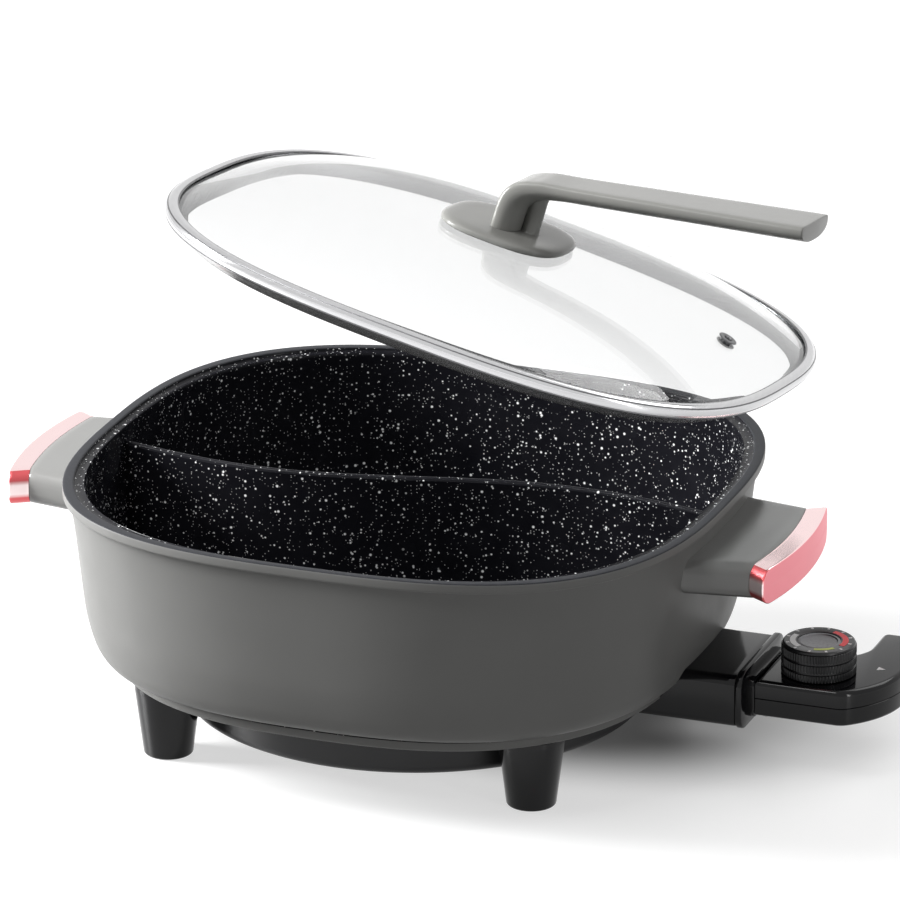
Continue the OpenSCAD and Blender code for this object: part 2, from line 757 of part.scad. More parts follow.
module knob() {
    z0 = case_top + 0.4;
    z1 = case_top + knob_h;
    color(black) translate([knob_x, 0, 0]) difference() {
        union() {
            knurled(z0, z0 + 4.2, 0.5);
            knurled(z0 + 5, z0 + 9.4, 0.5);
            knurled(z0 + 10.2, z1 - 2, 0.5);
            translate([0, 0, z0]) cylinder(h = z1 - z0 - 1, r = knob_r - 0.9);
            translate([0, 0, z1 - 2]) cylinder(h = 2, r1 = knob_r - 0.2, r2 = knob_r - 1.4);
        }
        translate([0, 0, z1 - 1]) cylinder(h = 2, r = knob_r - 3);
        translate([0, 0, z0 - 1]) cylinder(h = 9, r = spindle_r + 0.05);
    }
}

module knob_dial() {
    z1 = case_top + knob_h;
    color("#6e6e70") translate([knob_x, 0, z1 - 0.95]) difference() {
        cylinder(h = 0.75, r = knob_r - 3.1);
        translate([0, 0, 0.4]) cylinder(h = 1, r = 8.5);
    }
}

module knob_spindle() {
    color(steel) translate([knob_x, 0, case_mid - 1]) cylinder(h = case_top + 7 - case_mid, r = spindle_r);
}

pot_body();
heating_element();
element_clips();
terminal_pins();
terminal_block();
probe_channel();
heater_cover();
cover_screws();
foot_at(-1, -1);  // foot_front_left
foot_at(1, -1);  // foot_front_right
foot_at(-1, 1);  // foot_rear_left
foot_at(1, 1);  // foot_rear_right
foot_screws();
socket_shroud();
shroud_screws();
mirror([1, 0, 0]) grip();  // grip_left
grip();  // grip_right
mirror([1, 0, 0]) grip_cap();  // grip_cap_left
grip_cap();  // grip_cap_right
grip_bolts();
lid_at_rest() lid_glass();
lid_at_rest() lid_rim();
lid_at_rest() lid_vent();
lid_at_rest() lid_handle_seal();
lid_at_rest() lid_handle_base();
lid_at_rest() lid_handle_arm();
lid_at_rest() lid_washer();
lid_at_rest() lid_screw();
controller_collar();
controller_lower_case();
controller_upper_case();
case_screws();
probe_rod();
contact_sleeves();
thermostat_frame();
bimetal_strip();
contact_blades();
cord_gland();
knob_spindle();
knob();
knob_dial();
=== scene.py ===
# %% [markdown]
# # A divided electric hot pot
# The pieces below dress a packed construction model: a cast pot with two chambers, four feet, two grips,
# a glass lid held above it and a plug-in controller. The construction gives the places and sizes, and this
# script adds the surfaces that a camera sees. Everything is in metres, +Z up, the controller towards +X.

# %% Load the frame
import json
import math
import bmesh
import bpy
from mathutils import Matrix, Vector


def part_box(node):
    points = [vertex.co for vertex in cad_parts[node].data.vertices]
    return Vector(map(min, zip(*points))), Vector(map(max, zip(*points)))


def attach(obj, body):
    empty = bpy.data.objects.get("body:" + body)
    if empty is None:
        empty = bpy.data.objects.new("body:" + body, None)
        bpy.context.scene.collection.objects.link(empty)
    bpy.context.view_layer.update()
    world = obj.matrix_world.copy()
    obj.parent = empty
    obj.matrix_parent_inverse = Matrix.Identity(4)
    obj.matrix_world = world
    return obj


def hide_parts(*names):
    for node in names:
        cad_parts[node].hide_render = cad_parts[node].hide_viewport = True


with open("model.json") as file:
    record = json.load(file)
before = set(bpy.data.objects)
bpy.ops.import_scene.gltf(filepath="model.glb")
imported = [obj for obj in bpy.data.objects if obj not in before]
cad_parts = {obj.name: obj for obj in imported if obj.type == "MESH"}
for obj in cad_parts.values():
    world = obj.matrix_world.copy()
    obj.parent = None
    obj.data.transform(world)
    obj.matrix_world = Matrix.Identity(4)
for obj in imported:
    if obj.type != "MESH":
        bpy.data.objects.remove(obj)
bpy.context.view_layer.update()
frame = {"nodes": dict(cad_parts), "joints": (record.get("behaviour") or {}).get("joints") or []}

MM = 0.001
print("nodes in the frame:", len(frame["nodes"]))

# %% [markdown]
# ## The camera
# The picture was taken with a long lens, from the front and a little to the right, looking down about
# twenty degrees. A long lens far away keeps the pot's sides nearly parallel. A short lens close by would
# have made the near foot too large.

# %% Camera
CAMERA_AZIMUTH = math.radians(20.21)
CAMERA_ELEVATION = math.radians(20.38)
CAMERA_DISTANCE = 4.355
CAMERA_TARGET = Vector((0.01635, 0.00602, 0.14271))


def direction(azimuth, elevation):
    """Away from the pot: azimuth 0 is towards the front, and more of it is further to the right."""
    return Vector((math.sin(azimuth) * math.cos(elevation),
                   -math.cos(azimuth) * math.cos(elevation),
                   math.sin(elevation)))


camera_data = bpy.data.cameras.new("camera")
camera_data.sensor_width = 36
camera_data.lens = 340.1
camera = bpy.data.objects.new("camera", camera_data)
bpy.context.scene.collection.objects.link(camera)
from_target = direction(CAMERA_AZIMUTH, CAMERA_ELEVATION)
camera.location = CAMERA_TARGET + from_target * CAMERA_DISTANCE
camera.rotation_euler = (-from_target).to_track_quat("-Z", "Y").to_euler()
bpy.context.scene.camera = camera
print("camera at", [round(c, 3) for c in camera.location])

# %% [markdown]
# ## Measures from the frame
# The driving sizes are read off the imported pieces, so that each surface lies where the construction has it.
# The lid is held open, and the hinge that stands in for the hand says how far: turned back to its lower
# limit, the lid lies level on the pot. Its pieces are made level and then swung by that angle.

# %% Measures
pot_low, pot_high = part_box("pot_body")
RIM_A = (pot_high[0] - pot_low[0]) / 2
RIM_B = (pot_high[1] - pot_low[1]) / 2
RIM_Z = pot_high[2]
BASE_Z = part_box("foot_front_left")[1][2]
FLOOR_Z = BASE_Z + 5 * MM
SEAT_Z = RIM_Z - 2 * MM
LID_Z = SEAT_Z + 0.3 * MM

lid_joint = next(j for j in frame["joints"] if j["name"] == "lid_swing")
lid_open = math.radians(-lid_joint["range_deg"][0])
swing_point = Vector(lid_joint["pos_m"])
LID_POSE = (Matrix.Translation(swing_point) @ Matrix.Rotation(lid_open, 4, Vector(lid_joint["axis"]))
            @ Matrix.Translation(-swing_point) @ Matrix.Translation((0, 0, LID_Z)))
print(f"rim {2 * RIM_A:.3f} by {2 * RIM_B:.3f} m, {RIM_Z:.4f} m high")
print(f"lid open {math.degrees(lid_open):.1f} degrees")

# %% [markdown]
# ## Making a mesh from rings
# Nearly every piece here is a skin drawn over a row of rings with equally many points: the pot's section
# walked round its outline, the lid's dome, a turned foot, the bent arm. One helper makes such a skin, and
# another shades it smooth but keeps corners crisp.

# %% Ring helpers
def piece_from(name, points, faces, crisp=35):
    mesh = bpy.data.meshes.new(name)
    mesh.from_pydata([tuple(p) for p in points], [], faces)
    mesh.validate()
    tidy = bmesh.new()
    tidy.from_mesh(mesh)
    bmesh.ops.remove_doubles(tidy, verts=tidy.verts, dist=1e-7)
    bmesh.ops.recalc_face_normals(tidy, faces=tidy.faces)
    tidy.to_mesh(mesh)
    tidy.free()
    mesh.shade_smooth()
    mesh.set_sharp_from_angle(angle=math.radians(crisp))
    piece = bpy.data.objects.new(name, mesh)
    bpy.context.scene.collection.objects.link(piece)
    return piece


def skin(name, rings, last_cap=True, loop=False, crisp=35):
    count = len(rings[0])
    points = [p for ring in rings for p in ring]
    faces = []
    pairs = len(rings) if loop else len(rings) - 1
    for i in range(pairs):
        a, b = i * count, ((i + 1) % len(rings)) * count
        faces += [(a + j, b + j, b + (j + 1) % count, a + (j + 1) % count) for j in range(count)]
    if not loop:
        faces.append(tuple(range(count)))
    if last_cap and not loop:
        faces.append(tuple(reversed(range((len(rings) - 1) * count, len(rings) * count))))
    return piece_from(name, points, faces, crisp)


def oval(a, b, n, z, count):
    ring = []
    for i in range(count):
        t = math.tau * i / count
        c, s = math.cos(t), math.sin(t)
        r = (abs(c / a) ** n + abs(s / b) ** n) ** (-1 / n)
        ring.append((r * c, r * s, z))
    return ring


def turned(name, profile, centre=(0, 0), count=96):
    """A turned piece: profile is a row of (radius, height), from the axis out and back to it."""
    rings = [[(centre[0] + max(r, 1e-6) * math.cos(math.tau * i / count),
               centre[1] + max(r, 1e-6) * math.sin(math.tau * i / count), z) for i in range(count)]
             for r, z in profile]
    return skin(name, rings)


def smooth_row(points, steps=4):
    """More points along a row, on a curve that runs through all of them."""
    row = []
    for i in range(len(points) - 1):
        p0 = points[max(i - 1, 0)]
        p1, p2 = points[i], points[i + 1]
        p3 = points[min(i + 2, len(points) - 1)]
        for k in range(steps):
            t = k / steps
            row.append(tuple(
                0.5 * (2 * b + (c - a) * t + (2 * a - 5 * b + 4 * c - d) * t * t
                       + (3 * b - a - 3 * c + d) * t ** 3)
                for a, b, c, d in zip(p0, p1, p2, p3)))
    row.append(tuple(points[-1]))
    return row


def corner(centre, radius, start, end, steps=6):
    """Points of a rounded corner in a section, in degrees from start to end."""
    return [(centre[0] + radius * math.cos(math.radians(start + (end - start) * k / steps)),
             centre[1] + radius * math.sin(math.radians(start + (end - start) * k / steps)))
            for k in range(steps + 1)]


def scaled(rows):
    """A profile in millimetres, in metres."""
    return [tuple(v * MM for v in row) for row in rows]

# %% [markdown]
# ## Finishes
# Each finish is a small tree of nodes on one shader. Noise in the object's own space breaks up the colour
# and the roughness, and a fine bump gives the surface a grain that catches the light. A picture wrapped
# round the pot would do as well, but it would need unwrapping, and noise has no seam.

# %% Node helpers
def joined(tree, operation, first, second):
    """One Math node over two outputs."""
    node = tree.nodes.new("ShaderNodeMath")
    node.operation = operation
    tree.links.new(first, node.inputs[0])
    tree.links.new(second, node.inputs[1])
    return node.outputs["Value"]


def mapped(tree, value, low, high, to_low=0.0, to_high=1.0, way="LINEAR"):
    """A value between low and high, moved to lie between to_low and to_high."""
    node = tree.nodes.new("ShaderNodeMapRange")
    node.interpolation_type = way
    for socket, number in zip(("From Min", "From Max", "To Min", "To Max"), (low, high, to_low, to_high)):
        node.inputs[socket].default_value = number
    tree.links.new(value, node.inputs["Value"])
    return node.outputs["Result"]


def any_ray(tree, first, *others):
    """1 for a light path of one of these kinds, 0 for every other."""
    path = tree.nodes.new("ShaderNodeLightPath")
    found = path.outputs[f"Is {first} Ray"]
    for kind in others:
        found = joined(tree, "MAXIMUM", found, path.outputs[f"Is {kind} Ray"])
    return found

# %% Finish helpers
class Finish:
    """One material and a few short ways to add nodes to it."""

    def __init__(self, name, color, roughness, **sockets):
        self.material = bpy.data.materials.new(name)
        self.material.use_nodes = True
        self.tree = self.material.node_tree
        self.nodes, self.links = self.tree.nodes, self.tree.links
        self.shader = self.nodes["Principled BSDF"]
        self.shader.inputs["Base Color"].default_value = (*color, 1)
        self.shader.inputs["Roughness"].default_value = roughness
        for key, value in sockets.items():
            self.shader.inputs[key.replace("_", " ").title().replace("Ior", "IOR")].default_value = value
        self.space = self.nodes.new("ShaderNodeTexCoord").outputs["Object"]
        self.last_bump = None

    def stretched(self, scale):
        mapping = self.nodes.new("ShaderNodeMapping")
        mapping.inputs["Scale"].default_value = scale
        self.links.new(self.space, mapping.inputs["Vector"])
        return mapping.outputs["Vector"]

    def noise(self, scale, detail=3, space=None):
        node = self.nodes.new("ShaderNodeTexNoise")
        node.inputs["Scale"].default_value = scale
        node.inputs["Detail"].default_value = detail
        self.links.new(space or self.space, node.inputs["Vector"])
        return node.outputs["Fac"]

    def cells(self, scale):
        node = self.nodes.new("ShaderNodeTexVoronoi")
        node.inputs["Scale"].default_value = scale
        self.links.new(self.space, node.inputs["Vector"])
        return node

    def spread(self, value, low, high, to_low=0.0, to_high=1.0):
        return mapped(self.tree, value, low, high, to_low, to_high)

    def mix(self, fac, first, second):
        node = self.nodes.new("ShaderNodeMix")
        node.data_type = "RGBA"
        self.links.new(fac, node.inputs["Factor"])
        for socket, value in (("A", first), ("B", second)):
            target = [s for s in node.inputs if s.name == socket and s.type == "RGBA"][0]
            if isinstance(value, tuple):
                target.default_value = (*value, 1)
            else:
                self.links.new(value, target)
        return [s for s in node.outputs if s.type == "RGBA"][0]

    def color(self, value):
        self.links.new(value, self.shader.inputs["Base Color"])

    def roughness(self, value):
        self.links.new(value, self.shader.inputs["Roughness"])

    def bump(self, value, depth, strength=1.0):
        node = self.nodes.new("ShaderNodeBump")
        node.inputs["Distance"].default_value = depth
        node.inputs["Strength"].default_value = strength
        self.links.new(value, node.inputs["Height"])
        if self.last_bump:
            self.links.new(self.last_bump, node.inputs["Normal"])
        self.last_bump = node.outputs["Normal"]
        self.links.new(self.last_bump, self.shader.inputs["Normal"])


def shade(tint, factor):
    return tuple(c * factor for c in tint)

# %% Cast and coated finishes
def coated_outside():
    grey = (0.18, 0.18, 0.175)
    f = Finish("satin_coating", grey, 0.4, specular_ior_level=0.12)
    f.color(f.mix(f.noise(22, 2), shade(grey, 0.94), shade(grey, 1.06)))
    f.roughness(f.spread(f.noise(60), 0.3, 0.7, 0.36, 0.43))
    f.bump(f.noise(1400, 2), 0.00004, 0.35)
    return f.material


def rim_top():
    dark = (0.03, 0.031, 0.035)
    f = Finish("rim_coating", dark, 0.42, specular_ior_level=0.08)
    f.color(f.mix(f.noise(500, 3), shade(dark, 0.8), shade(dark, 1.25)))
    f.bump(f.noise(1600, 2), 0.00004, 0.4)
    return f.material


# How fine the cells are, a speck's size in its cell, its brightness, and the share of cells left bare.
SPECKS = ((380, 0.24, 0.95, 0.62), (640, 0.22, 0.6, 0.45), (230, 0.2, 1.0, 0.72))


def speckled_inside():
    """Black non-stick coat with sprayed specks in three sizes."""
    f = Finish("speckled_coating", (0.006, 0.006, 0.008), 0.24, specular_ior_level=0.1)
    tone = f.mix(f.noise(90, 4), (0.004, 0.004, 0.006), (0.012, 0.012, 0.015))
    for scale, size, strength, bare in SPECKS:
        cell = f.cells(scale)
        dot = f.spread(cell.outputs["Distance"], size, size * 0.55)
        chance = f.nodes.new("ShaderNodeSeparateColor")
        f.links.new(cell.outputs["Color"], chance.inputs["Color"])
        kept = f.spread(chance.outputs["Red"], bare, bare + 0.01)
        speck = joined(f.tree, "MULTIPLY", dot, kept)
        tone = f.mix(speck, tone, shade((1, 1, 1), strength))
    f.color(tone)
    f.roughness(f.spread(f.noise(40), 0.3, 0.7, 0.2, 0.3))
    f.bump(f.noise(900, 2), 0.00005, 0.4)
    return f.material


def dark_sheet():
    f = Finish("dark_sheet", (0.012, 0.012, 0.013), 0.34, specular_ior_level=0.3)
    f.roughness(f.spread(f.noise(35), 0.3, 0.7, 0.32, 0.44))
    f.bump(f.noise(700, 2), 0.00005, 0.3)
    return f.material

# %% Moulded finishes
def gloss_black():
    f = Finish("gloss_black", (0.003, 0.003, 0.004), 0.12, specular_ior_level=0.24)
    f.roughness(f.spread(f.noise(45), 0.3, 0.7, 0.09, 0.17))
    f.bump(f.noise(120, 2), 0.00003, 0.25)
    return f.material


def satin_grey(name, grey, shine=0.4, **sockets):
    f = Finish(name, grey, 0.26, specular_ior_level=shine, **sockets)
    f.color(f.mix(f.noise(30, 2), shade(grey, 0.95), shade(grey, 1.05)))
    f.roughness(f.spread(f.noise(80), 0.3, 0.7, 0.17, 0.23))
    f.bump(f.noise(1500, 2), 0.00004, 0.3)
    return f.material


def knob_black():
    f = Finish("knob_black", (0.009, 0.009, 0.01), 0.3, specular_ior_level=0.3)
    f.bump(f.noise(1200, 2), 0.00005, 0.4)
    return f.material


def soft_rubber():
    f = Finish("soft_rubber", (0.018, 0.018, 0.018), 0.75)
    f.bump(f.noise(900, 2), 0.00005, 0.5)
    return f.material


def fired_ceramic():
    f = Finish("fired_ceramic", (0.72, 0.68, 0.6), 0.7)
    f.bump(f.noise(700, 3), 0.00008, 0.5)
    return f.material

# %% Metal and glass finishes
def rose_plating():
    rose = (0.97, 0.74, 0.74)
    f = Finish("rose_plating", rose, 0.13, metallic=1.0)
    f.roughness(f.spread(f.noise(50), 0.3, 0.7, 0.1, 0.18))
    f.bump(f.noise(60, 2), 0.00003, 0.2)
    return f.material


def rose_painted_reflection(low, high):
    """The same plating round the cap's narrow ends, with a painted reflection: pale across the middle, deep
    red above and below.
    """
    f = Finish("rose_painted_reflection", (0.95, 0.7, 0.7), 0.3, metallic=0.8)
    height = f.nodes.new("ShaderNodeSeparateXYZ")
    f.links.new(f.space, height.inputs["Vector"])
    offset = f.spread(height.outputs["Z"], low, high, -1.0, 1.0)
    size = f.nodes.new("ShaderNodeMath")
    size.operation = "ABSOLUTE"
    f.links.new(offset, size.inputs[0])
    # Painted reflection: pale in the middle of the cap's height, deep red towards its top and its bottom.
    pale, deep = (0.97, 0.8, 0.8), (0.6, 0.1, 0.11)
    f.color(f.mix(f.spread(size.outputs["Value"], 0.25, 0.5), pale, deep))
    f.roughness(f.spread(f.noise(50), 0.3, 0.7, 0.3, 0.38))
    return f.material


def rose_satin():
    rose = (0.86, 0.3, 0.34)
    f = Finish("rose_satin", rose, 0.5, metallic=0.8)
    f.color(f.mix(f.noise(18, 2), shade(rose, 0.94), shade(rose, 1.06)))
    f.bump(f.noise(900, 2), 0.00003, 0.25)
    return f.material


def brushed(name, tint, roughness, along):
    """Metal with fine lines; along holds the noise's scale in X, Y and Z, small where the lines run."""
    f = Finish(name, tint, roughness, metallic=1.0)
    lines = f.noise(1, 2, f.stretched(along))
    f.color(f.mix(lines, shade(tint, 0.88), shade(tint, 1.05)))
    f.roughness(f.spread(lines, 0.3, 0.7, roughness * 0.8, roughness * 1.25))
    f.bump(lines, 0.00002, 0.3)
    return f.material


def clear_glass():
    """Bent light leaves a black shadow, so shadow rays and soft bounces pass straight through."""
    f = Finish("clear_glass", (0.785, 0.788, 0.79), 0.0, transmission_weight=1.0, ior=1.43)
    f.bump(f.noise(9, 1), 0.0002, 0.05)
    clear = f.nodes.new("ShaderNodeBsdfTransparent")
    clear.inputs["Color"].default_value = (0.93, 0.95, 0.95, 1)
    both = f.nodes.new("ShaderNodeMixShader")
    f.links.new(any_ray(f.tree, "Shadow", "Diffuse"), both.inputs["Fac"])
    f.links.new(f.shader.outputs["BSDF"], both.inputs[1])
    f.links.new(clear.outputs["BSDF"], both.inputs[2])
    f.links.new(both.outputs["Shader"], f.nodes["Material Output"].inputs["Surface"])
    return f.material


def printed(name, ink):
    f = Finish(name, ink, 0.45)
    f.color(f.mix(f.noise(900, 2), shade(ink, 0.9), ink))
    return f.material


cap_low, cap_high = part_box("grip_cap_right")
FINISH = {
    "coat": coated_outside(), "rim": rim_top(), "speckled": speckled_inside(), "sheet": dark_sheet(),
    "gloss": gloss_black(), "grip": satin_grey("grip_grey", (0.205, 0.205, 0.199)),
    "handle": satin_grey("handle_grey", (0.235, 0.235, 0.222), 0.2),
    "knob": knob_black(), "rubber": soft_rubber(),
    "ceramic": fired_ceramic(), "rose": rose_plating(), "rose_satin": rose_satin(),
    "rose_painted_reflection": rose_painted_reflection(cap_low[2], cap_high[2]),
    "steel": brushed("rim_steel", (0.6, 0.6, 0.61), 0.16, (60, 60, 2500)),
    # A darker copy of the rim's steel: painted shade, used on the rim's creases and edges and on the vent.
    "steel_painted_shade": brushed("painted_shade_steel", (0.14, 0.14, 0.145), 0.3, (60, 60, 2500)),
    "skirt": satin_grey("skirt_satin", (0.5, 0.5, 0.5), 0.5, metallic=0.8),
    "plain_steel": brushed("plain_steel", (0.6, 0.6, 0.6), 0.35, (900, 900, 900)),
    "brass": brushed("contact_brass", (0.72, 0.53, 0.25), 0.35, (90, 900, 900)),
    "copper": brushed("bimetal_copper", (0.7, 0.38, 0.22), 0.35, (90, 900, 900)),
    "glass": clear_glass(), "white": printed("print_white", (0.85, 0.85, 0.85)),
    "red": printed("print_red", (0.85, 0.02, 0.03)), "green": printed("print_green", (0.6, 0.7, 0.12)),
    "dial": brushed("dial_grey", (0.14, 0.14, 0.145), 0.4, (700, 700, 700)),
}
print("finishes:", len(FINISH))

# %% [markdown]
# ## Putting a piece in its place
# A finished piece says three things: which body it moves with, which finish it takes, and which plain solids
# it stands for.

# %% Placing
def settle(piece, body, nodes=(), finish=None, pose=None):
    if finish:
        piece.data.materials.append(FINISH[finish])
    if pose is not None:
        piece.data.transform(pose)
    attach(piece, body)
    if nodes:
        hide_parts(*nodes)
    print(f"{piece.name}: {len(piece.data.polygons)} faces, on {body}")

# %% [markdown]
# ## The pot
# The pot is one casting. Its outline is neither a circle nor a rectangle but something between, a
# superellipse, and the walls draw in towards the floor. The section is drawn once, as how far in and how
# high, and walked round the outline. Modelling a box and rounding it with bevels was the other way, but the
# slow curve of the real sides never comes out of a bevel.

# %% The pot's section
RING_POINTS = 240
SQUARENESS = 2.85
ROUNDER_BELOW = 12.5


def pot_ring(inset, z):
    return oval(RIM_A - inset, RIM_B - 0.8 * inset, SQUARENESS - ROUNDER_BELOW * inset, z, RING_POINTS)


LIP = 5.4
base, rim, floor, seat = BASE_Z / MM, RIM_Z / MM, FLOOR_Z / MM, SEAT_Z / MM
outer_wall = smooth_row([(24.6, base + 5.2), (22, base + 6), (18.8, base + 7.2), (16, base + 9.6),
                         (13.6, base + 14), (12, base + 19), (10.4, base + 26), (9, base + 35),
                         (7, base + 56), (5, base + 77), (3.2, rim - LIP - 2.5), (2.6, rim - LIP - 0.3)])
outer_lip = [(1.4, rim - LIP)] + corner((1.2, rim - LIP + 1.2), 1.2, 270, 180)
outer_lip += corner((1, rim - 1), 1, 180, 90)
inner_wall = smooth_row([(9.4, seat), (9.9, seat - 1.5), (10.2, rim - 20), (11.6, rim - 43),
                         (13.8, rim - 66), (16.6, floor + 17), (20.5, floor + 9), (27, floor + 3.4),
                         (36, floor + 0.4), (44, floor)])
ledge = corner((4.3, rim - 0.9), 0.9, 90, 0) + [(5.3, seat + 0.2), (5.5, seat)]
underside = [(160, base), (110, base), (60, base), (30, base)] + corner((25.2, base + 1.2), 1.2, 270, 180)
band = [(24, base + 4)] + corner((24.6, base + 4.4), 0.6, 180, 90, 3)
inside_floor = [(60, floor), (90, floor), (120, floor), (160, floor)]

section = underside + band + outer_wall + outer_lip + ledge + inner_wall + inside_floor
pot = skin("pot_shell", [pot_ring(i * MM, z * MM) for i, z in section], crisp=50)
print("rings in the pot's section:", len(section))

# %% [markdown]
# Three coatings cover the casting: satin grey outside, a darker one on the rim, and the speckled coat from
# the rim's inner edge down. A face is given its coat by its height and by the way it looks: inwards,
# or up from below the rim.

# %% Coatings of the pot
RIM_BAND = 0.4 * MM
for key in ("coat", "rim", "speckled"):
    pot.data.materials.append(FINISH[key])


def faces_inside(face):
    inward = -face.normal.x * face.center.x / RIM_A ** 2 - face.normal.y * face.center.y / RIM_B ** 2
    return inward > 0.3 or (face.normal.z > 0.5 and face.center.z < SEAT_Z + MM)


for face in pot.data.polygons:
    if face.center.z > RIM_Z - RIM_BAND:
        face.material_index = 1
    elif faces_inside(face) and face.center.z > FLOOR_Z - MM:
        face.material_index = 2

# %% [markdown]
# The divider is cast with the pot. From above it is a slow S. It has a rounded top edge and flares where it
# meets the floor. It is drawn as a row of sections, and each section ends inside the pot's wall at its
# height, so that no gap shows.

# %% The divider
WAVE, HALF_WAVE = 14 * MM, 166 * MM
DIVIDER_TOP = RIM_Z - 9 * MM
STATIONS = 90


def wave_at(x):
    return WAVE * math.sin(math.pi * x / HALF_WAVE)


def wall_inset(z_mm):
    """How far in the outer wall stands at a height."""
    for (i0, z0), (i1, z1) in zip(outer_wall, outer_wall[1:]):
        if z0 <= z_mm <= z1:
            return i0 + (i1 - i0) * (z_mm - z0) / (z1 - z0)
    return outer_wall[0][0] if z_mm < outer_wall[0][1] else outer_wall[-1][0]


half_section = smooth_row([(9, floor - 0.6), (6.2, floor + 0.9), (4.3, floor + 4), (3.4, floor + 12),
                           (2.6, floor + 45), (1.9, DIVIDER_TOP / MM - 1.6)], 3)
half_section += corner((0, DIVIDER_TOP / MM - 1.7), 1.7, 8, 90, 5)[:-1]
full_section = half_section + [(0, DIVIDER_TOP / MM)] + [(-t, z) for t, z in reversed(half_section)]
divider_rings = []
for k in range(STATIONS + 1):
    ring = []
    for t, z in full_section:
        reach = RIM_A - (wall_inset(z) + 2.2) * MM
        x = reach * (2 * k / STATIONS - 1)
        slope = WAVE * math.pi / HALF_WAVE * math.cos(math.pi * x / HALF_WAVE)
        length = math.hypot(1, slope)
        ring.append((x - slope / length * t * MM, wave_at(x) + t * MM / length, z * MM))
    divider_rings.append(ring)
divider = skin("pot_divider", divider_rings)
settle(divider, "pot", finish="speckled")
settle(pot, "pot", ["pot_body"])

# %% [markdown]
# ## Feet and heater cover
# The feet are moulded cones, hollow for a screw. The cover under the floor is a pressed dish. Both are
# turned shapes, so a profile and an axis are all they need.

# %% Feet
def foot(name, node):
    low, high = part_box(node)
    centre = ((low[0] + high[0]) / 2, (low[1] + high[1]) / 2)
    top, wide, narrow = high[2] / MM, (high[0] - low[0]) / 2 / MM, 12.8
    profile = [(0, 20), (5, 20), (5, 1)] + corner((6, 1), 1, 180, 270, 3)
    profile += corner((narrow - 1.6, 1.6), 1.6, 270, 350) + corner((wide - 1, top - 3), 1, -8, 0, 2)
    profile += [(wide, top - 0.2), (0, top - 0.2)]
    settle(turned(name, scaled(profile), centre), "pot", [node], "gloss")


for place in ("front_left", "front_right", "rear_left", "rear_right"):
    foot(f"moulded_foot_{place}", f"foot_{place}")

# %% Heater cover
cover_low, cover_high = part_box("heater_cover")
cover_r, cover_z = cover_high[0] / MM, cover_low[2] / MM
cover_profile = [(0, cover_z), (40, cover_z), (42, cover_z + 0.8), (92, cover_z + 0.8), (94, cover_z)]
cover_profile += [(cover_r - 8, cover_z)] + corner((cover_r - 5, cover_z + 5), 5, 270, 360, 8)
cover_profile += [(cover_r, base - 0.2), (cover_r - 1.2, base - 0.2), (cover_r - 1.2, cover_z + 6),
                  (0, cover_z + 3)]
cover = turned("pressed_cover", scaled(cover_profile), count=160)
settle(cover, "pot", ["heater_cover"], "sheet")

# %% [markdown]
# ## Side grips
# A grip is a flat slab with round front and back edges, and its end wears a plated cap. The joint between
# them is a shallow arc. Both are rounded rectangles carried outwards, where every point stops on its arc.

# %% Grips
def slab_section(half_width, low, high, radius, steps, across=0):
    """A rounded rectangle in Y and Z, with extra points across its flat top and underside."""
    flat = half_width - radius
    row = [flat * (1 - 2 * k / (across + 1)) for k in range(1, across + 1)]
    right = corner((flat, low + radius), radius, 270, 360, steps)
    right += corner((flat, high - radius), radius, 0, 90, steps)
    left = corner((-flat, high - radius), radius, 90, 180, steps)
    left += corner((-flat, low + radius), radius, 180, 270, steps)
    return right + [(y, high) for y in row] + left + [(-y, low) for y in row]


grip_low, grip_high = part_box("grip_right")
GRIP_LOW, GRIP_HIGH = grip_low[2] / MM, grip_high[2] / MM
GRIP_START, GRIP_JOINT = 161, grip_high[0] / MM
GRIP_MEET, GRIP_TIP = grip_high[1] / MM, 47.3
CAP_END, CAP_HALF = cap_high[0] / MM, cap_high[1] / MM
JOINT_ARC, FACE_ARC = 223, 207
GRIP_ROUND, CAP_EDGE = 7.5, 0.6


def on_arc(x, radius, y):
    return x - radius + math.sqrt(radius ** 2 - y ** 2)


def slab_ring(x_of_y, width, shrink=0.0):
    """One closed section of a slab; each of its points stops at its own x."""
    section = slab_section(width - shrink, GRIP_LOW + shrink, GRIP_HIGH - shrink,
                           max(GRIP_ROUND - shrink, 0.01), 8, 17)
    return [(x_of_y(y), y, z) for y, z in section]


def joint(y):
    return on_arc(GRIP_JOINT, JOINT_ARC, y)


def cap_face(y):
    return on_arc(CAP_END, FACE_ARC, y)


def grip_rings():
    rings = []
    for k in range(13):
        share = k / 12
        rings.append(slab_ring(lambda y, s=share: GRIP_START + s * (joint(y) - 0.5 - GRIP_START),
                               GRIP_MEET + (GRIP_TIP - GRIP_MEET) * share))
    rings.append(slab_ring(lambda y: joint(y) - 0.15, GRIP_TIP, 0.12))
    rings.append(slab_ring(lambda y: joint(y) - 0.05, GRIP_TIP, 0.45))
    return rings


def cap_rings():
    """The cap flares towards its outer face, whose edge is softened; the face closes in to a slit."""
    rings = [slab_ring(lambda y: joint(y) + 0.05, GRIP_TIP, 0.45),
             slab_ring(lambda y: joint(y) + 0.15, GRIP_TIP, 0.1)]
    for k in range(9):
        share = k / 8
        rings.append(slab_ring(lambda y, s=share: joint(y) + 0.4 + s * (cap_face(y) - 1.0 - joint(y)),
                               GRIP_TIP + (CAP_HALF - GRIP_TIP) * share))
    for turn in (25, 50, 72, 90):
        out = CAP_EDGE * math.sin(math.radians(turn))
        rings.append(slab_ring(lambda y, o=out: cap_face(y) - CAP_EDGE + o, CAP_HALF,
                               CAP_EDGE * (1 - math.cos(math.radians(turn)))))
    for shrink in (1.4, 3.6, 6, 8, (GRIP_HIGH - GRIP_LOW) / 2 - 0.02):
        rings.append(slab_ring(cap_face, CAP_HALF, shrink))
    return rings


